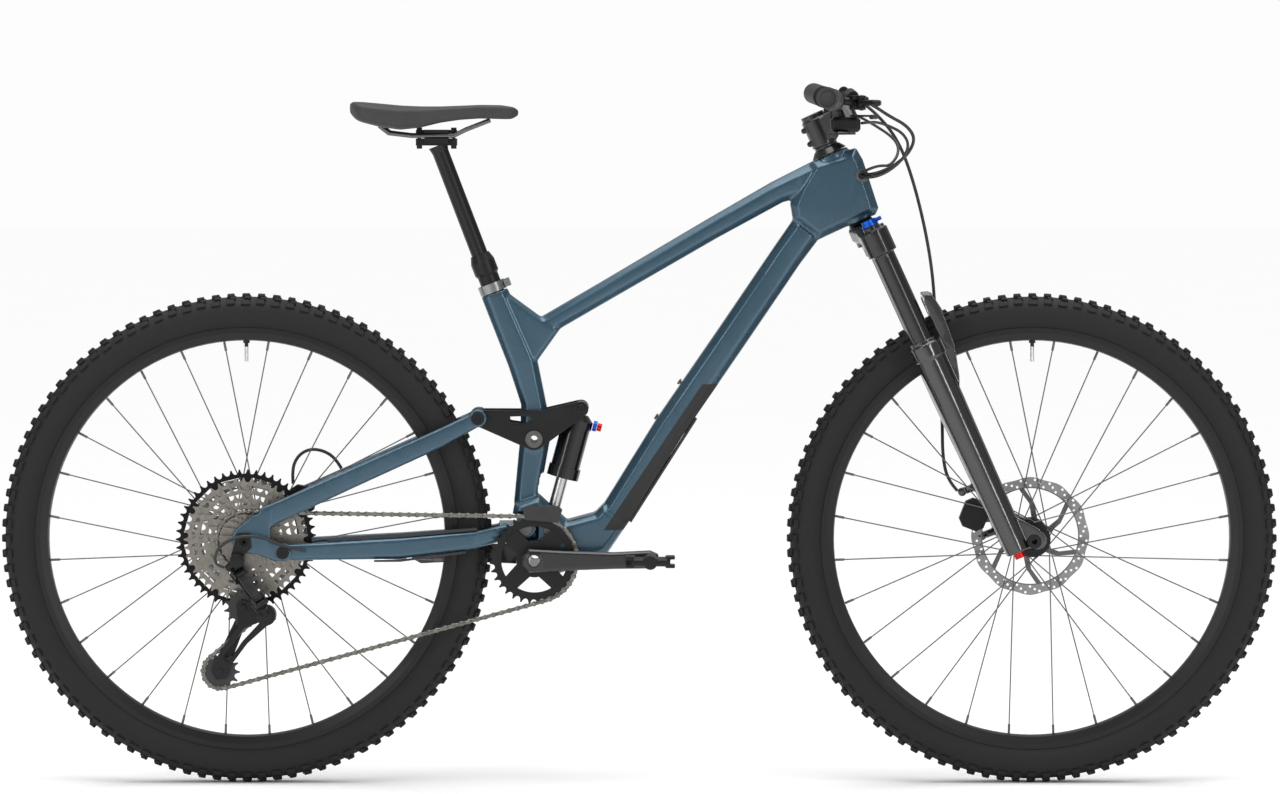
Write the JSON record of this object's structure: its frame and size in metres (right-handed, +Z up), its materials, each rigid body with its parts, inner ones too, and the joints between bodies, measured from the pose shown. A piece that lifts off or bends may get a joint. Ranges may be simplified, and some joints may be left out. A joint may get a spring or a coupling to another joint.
{
  "type": "mountain bike",
  "caption": "Full-suspension trail bicycle with knobbly tyres, suspension fork, rear shock with linkage, disc brakes, dropper seatpost and single-ring derailleur drivetrain.",
  "frame": {"origin": "on the ground, halfway along and across the whole bike's box", "axes": "+X forward to the front wheel, +Y to the bike's left, +Z up"},
  "size_m": [1.932, 0.782, 1.0574],
  "materials": {
    "frame_carbon": "steel-blue clear-coated carbon fibre",
    "black_carbon": "satin black carbon fibre",
    "black_alloy": "black anodised",
    "gloss_black_cast": "gloss black paint on cast magnesium",
    "silver_alloy": "machined",
    "steel": "brushed",
    "dark_steel": "dark nickel",
    "tyre_rubber": "matt",
    "rubber": "matt",
    "hose": "satin",
    "plastic": "matt",
    "saddle_cover": "matt synthetic",
    "blue_anodised": "blue anodised",
    "red_anodised": "red anodised",
    "grey_alloy": "grey anodised"
  },
  "bodies": {
    "frame": {"front_triangle": "frame_carbon", "bearing_cups": "black_alloy", "seat_clamp": "grey_alloy", "down_tube_guard": "rubber", "frame_hardware": "steel", "chain_guide": "plastic", "dropper_lower_tube": "black_alloy", "chain": "dark_steel"},
    "chainstay": {"chainstay": "frame_carbon", "chainstay_guard": "rubber"},
    "seatstay": {"seatstay": "frame_carbon", "stay_hardware": "black_alloy", "rear_caliper": "black_alloy", "rear_cables": "hose", "derailleur_knuckle": "black_alloy"},
    "rocker": {"rocker_link": "black_alloy"},
    "shock_shaft": {"shock_shaft": "steel"},
    "shock_body": {"shock_body": "black_alloy"},
    "shock_lever": {"shock_lever": "blue_anodised"},
    "shock_rebound_knob": {"shock_rebound_knob": "red_anodised"},
    "steering": {"fork_uppers": "black_alloy", "handlebar": "black_carbon", "grips": "rubber", "stem": "black_alloy", "control_bodies": "black_alloy", "cockpit_cables": "hose"},
    "fork_lowers": {"fork_lowers": "gloss_black_cast", "front_axle": "black_alloy", "front_caliper": "black_alloy"},
    "front_wheel": {"front_tyre": "tyre_rubber", "front_rim": "black_alloy", "front_spokes": "dark_steel", "front_hub": "black_alloy", "front_rotor": "steel"},
    "rear_wheel": {"rear_tyre": "tyre_rubber", "rear_rim": "black_alloy", "rear_spokes": "dark_steel", "rear_hub": "black_alloy", "rear_rotor": "steel"},
    "cassette": {"cassette": "silver_alloy"},
    "crankset": {"chainring": "black_alloy", "crank_arms": "black_alloy"},
    "pedal_right": {"pedal_right": "black_alloy"},
    "pedal_left": {"pedal_left": "black_alloy"},
    "seatpost": {"dropper_post": "black_alloy", "saddle": "saddle_cover", "saddle_rails": "dark_steel"},
    "damper_knob": {"damper_knob": "blue_anodised"},
    "rebound_knob": {"rebound_knob": "red_anodised"},
    "brake_lever_left": {"brake_lever_left": "black_alloy"},
    "brake_lever_right": {"brake_lever_right": "black_alloy"},
    "shift_lever": {"shift_lever": "plastic"},
    "release_lever": {"release_lever": "plastic"},
    "dropper_lever": {"dropper_lever": "black_alloy"},
    "inner_link": {"inner_link": "black_alloy"},
    "outer_link": {"outer_link": "black_alloy"},
    "cage_knuckle": {"cage_knuckle": "black_alloy"},
    "derailleur_cage": {"derailleur_cage": "black_alloy"},
    "guide_pulley": {"guide_pulley": "plastic"},
    "tension_pulley": {"tension_pulley": "plastic"}
  },
  "joints": [
    {"name": "main_pivot", "type": "hinge", "parent": "frame", "child": "chainstay", "pos_m": [-0.172, 0, 0.388], "axis": [0, 1, 0], "range_deg": [0, 16], "stiffness_Nm_per_rad": 600, "springref_deg": -14.32, "deforming": ["chain", "rear_cables"]},
    {"name": "dropout_pivot", "type": "hinge", "parent": "chainstay", "child": "seatstay", "pos_m": [-0.5369, 0, 0.3542], "axis": [0, 1, 0], "range_deg": [-6, 0], "deforming": ["chain", "rear_cables"]},
    {"name": "rocker_pivot", "type": "hinge", "parent": "frame", "child": "rocker", "pos_m": [-0.1592, 0, 0.523], "axis": [0, 1, 0], "range_deg": [0, 37.5]},
    {"name": "shock_pivot", "type": "hinge", "parent": "frame", "child": "shock_shaft", "pos_m": [-0.138, 0, 0.385], "axis": [0, 1, 0], "range_deg": [0, 11]},
    {"name": "shock_stroke", "type": "slide", "parent": "shock_shaft", "child": "shock_body", "axis": [0.262, 0, 0.9651], "range_m": [-0.045, 0]},
    {"name": "compression_lever_turn", "type": "hinge", "parent": "shock_body", "child": "shock_lever", "pos_m": [-0.07064, 0, 0.54155], "axis": [0.9651, 0, -0.262], "range_deg": [-90, 0]},
    {"name": "shock_rebound_turn", "type": "hinge", "parent": "shock_body", "child": "shock_rebound_knob", "pos_m": [-0.07064, 0, 0.54155], "axis": [0.9651, 0, -0.262], "range_deg": [0, 330]},
    {"name": "steering_turn", "type": "hinge", "parent": "frame", "child": "steering", "pos_m": [0.3334, 0, 0.8527], "axis": [-0.4147, 0, 0.91], "range_deg": [-65, 65], "deforming": ["cockpit_cables"]},
    {"name": "fork_travel", "type": "slide", "parent": "steering", "child": "fork_lowers", "axis": [-0.4147, 0, 0.91], "range_m": [0, 0.13], "stiffness_N_per_m": 8000, "springref_m": -0.005, "deforming": ["cockpit_cables"]},
    {"name": "front_wheel_spin", "type": "hinge", "parent": "fork_lowers", "child": "front_wheel", "pos_m": [0.595, 0, 0.371], "axis": [0, 1, 0], "continuous": true},
    {"name": "fork_compression_turn", "type": "hinge", "parent": "steering", "child": "damper_knob", "pos_m": [0.3425, -0.067, 0.85685], "axis": [-0.4147, 0, 0.91], "range_deg": [-90, 0]},
    {"name": "fork_rebound_turn", "type": "hinge", "parent": "fork_lowers", "child": "rebound_knob", "pos_m": [0.57141, -0.067, 0.35455], "axis": [-0.4147, 0, 0.91], "range_deg": [0, 330]},
    {"name": "crank_spin", "type": "hinge", "parent": "frame", "child": "crankset", "pos_m": [-0.1585, 0, 0.3422], "axis": [0, 1, 0], "continuous": true, "deforming": ["chain"]},
    {"name": "rear_wheel_spin", "type": "hinge", "parent": "seatstay", "child": "rear_wheel", "pos_m": [-0.595, 0, 0.371], "axis": [0, 1, 0], "continuous": true},
    {"name": "cassette_spin", "type": "hinge", "parent": "seatstay", "child": "cassette", "pos_m": [-0.595, 0, 0.371], "axis": [0, 1, 0], "continuous": true, "deforming": ["chain"]},
    {"name": "pedal_right_spin", "type": "hinge", "parent": "crankset", "child": "pedal_right", "pos_m": [0.0165, -0.119, 0.344], "axis": [0, 1, 0], "continuous": true},
    {"name": "pedal_left_spin", "type": "hinge", "parent": "crankset", "child": "pedal_left", "pos_m": [-0.3335, 0.119, 0.3404], "axis": [0, 1, 0], "continuous": true},
    {"name": "dropper_travel", "type": "slide", "parent": "frame", "child": "seatpost", "axis": [-0.3567, 0, 0.9342], "range_m": [-0.15, 0], "stiffness_N_per_m": 300, "springref_m": 0.5},
    {"name": "brake_lever_left_pull", "type": "hinge", "parent": "steering", "child": "brake_lever_left", "pos_m": [0.3286, 0.228, 1.033], "axis": [0, 0, 1], "range_deg": [0, 20], "stiffness_Nm_per_rad": 1.8, "springref_deg": -11.46},
    {"name": "brake_lever_right_pull", "type": "hinge", "parent": "steering", "child": "brake_lever_right", "pos_m": [0.3286, -0.228, 1.033], "axis": [0, 0, -1], "range_deg": [0, 20], "stiffness_Nm_per_rad": 1.8, "springref_deg": -11.46},
    {"name": "shift_lever_push", "type": "hinge", "parent": "steering", "child": "shift_lever", "pos_m": [0.312, -0.196, 0.989], "axis": [0, 0, 1], "range_deg": [0, 25], "stiffness_Nm_per_rad": 0.5, "springref_deg": -17.19},
    {"name": "release_lever_push", "type": "hinge", "parent": "steering", "child": "release_lever", "pos_m": [0.322, -0.176, 1.011], "axis": [0, 0, -1], "range_deg": [0, 12], "stiffness_Nm_per_rad": 0.5, "springref_deg": -17.19},
    {"name": "dropper_lever_push", "type": "hinge", "parent": "steering", "child": "dropper_lever", "pos_m": [0.296, 0.174, 1.008], "axis": [0, 0, -1], "range_deg": [0, 20], "stiffness_Nm_per_rad": 0.5, "springref_deg": -17.19},
    {"name": "derailleur_swing", "type": "hinge", "parent": "seatstay", "child": "inner_link", "pos_m": [-0.601, -0.07123, 0.31446], "axis": [0.8301, 0.281, 0.4817], "range_deg": [-13, 24], "deforming": ["chain", "rear_cables"]},
    {"name": "outer_link_swing", "type": "hinge", "parent": "seatstay", "child": "outer_link", "pos_m": [-0.601, -0.08677, 0.32354], "axis": [0.8301, 0.281, 0.4817], "range_deg": [-13, 24], "deforming": ["chain", "rear_cables"]},
    {"name": "knuckle_swing", "type": "hinge", "parent": "inner_link", "child": "cage_knuckle", "pos_m": [-0.573, -0.09223, 0.27847], "axis": [0.8301, 0.281, 0.4817], "range_deg": [-24, 13], "deforming": ["chain", "rear_cables"]},
    {"name": "cage_swing", "type": "hinge", "parent": "cage_knuckle", "child": "derailleur_cage", "pos_m": [-0.562, 0, 0.26], "axis": [0, -1, 0], "range_deg": [-29, 53], "deforming": ["chain"]},
    {"name": "guide_pulley_spin", "type": "hinge", "parent": "derailleur_cage", "child": "guide_pulley", "pos_m": [-0.598, 0, 0.27], "axis": [0, 1, 0], "continuous": true, "deforming": ["chain"]},
    {"name": "tension_pulley_spin", "type": "hinge", "parent": "derailleur_cage", "child": "tension_pulley", "pos_m": [-0.633, 0, 0.17264], "axis": [0, 1, 0], "continuous": true, "deforming": ["chain"]}
  ],
  "couplings": [
    {"joint": "dropout_pivot", "follows": "main_pivot", "ratio": -0.3562},
    {"joint": "rocker_pivot", "follows": "main_pivot", "ratio": 2.3184},
    {"joint": "shock_pivot", "follows": "main_pivot", "ratio": 0.6708},
    {"joint": "shock_stroke", "follows": "main_pivot", "m_per_rad": -0.1547},
    {"joint": "cassette_spin", "follows": "crank_spin", "ratio": 1.5238},
    {"joint": "guide_pulley_spin", "follows": "crank_spin", "ratio": -2.4615},
    {"joint": "tension_pulley_spin", "follows": "crank_spin", "ratio": 2.4615},
    {"joint": "outer_link_swing", "follows": "derailleur_swing", "ratio": 1},
    {"joint": "knuckle_swing", "follows": "derailleur_swing", "ratio": -1},
    {"joint": "cage_swing", "follows": "derailleur_swing", "ratio": 2.2}
  ]
}
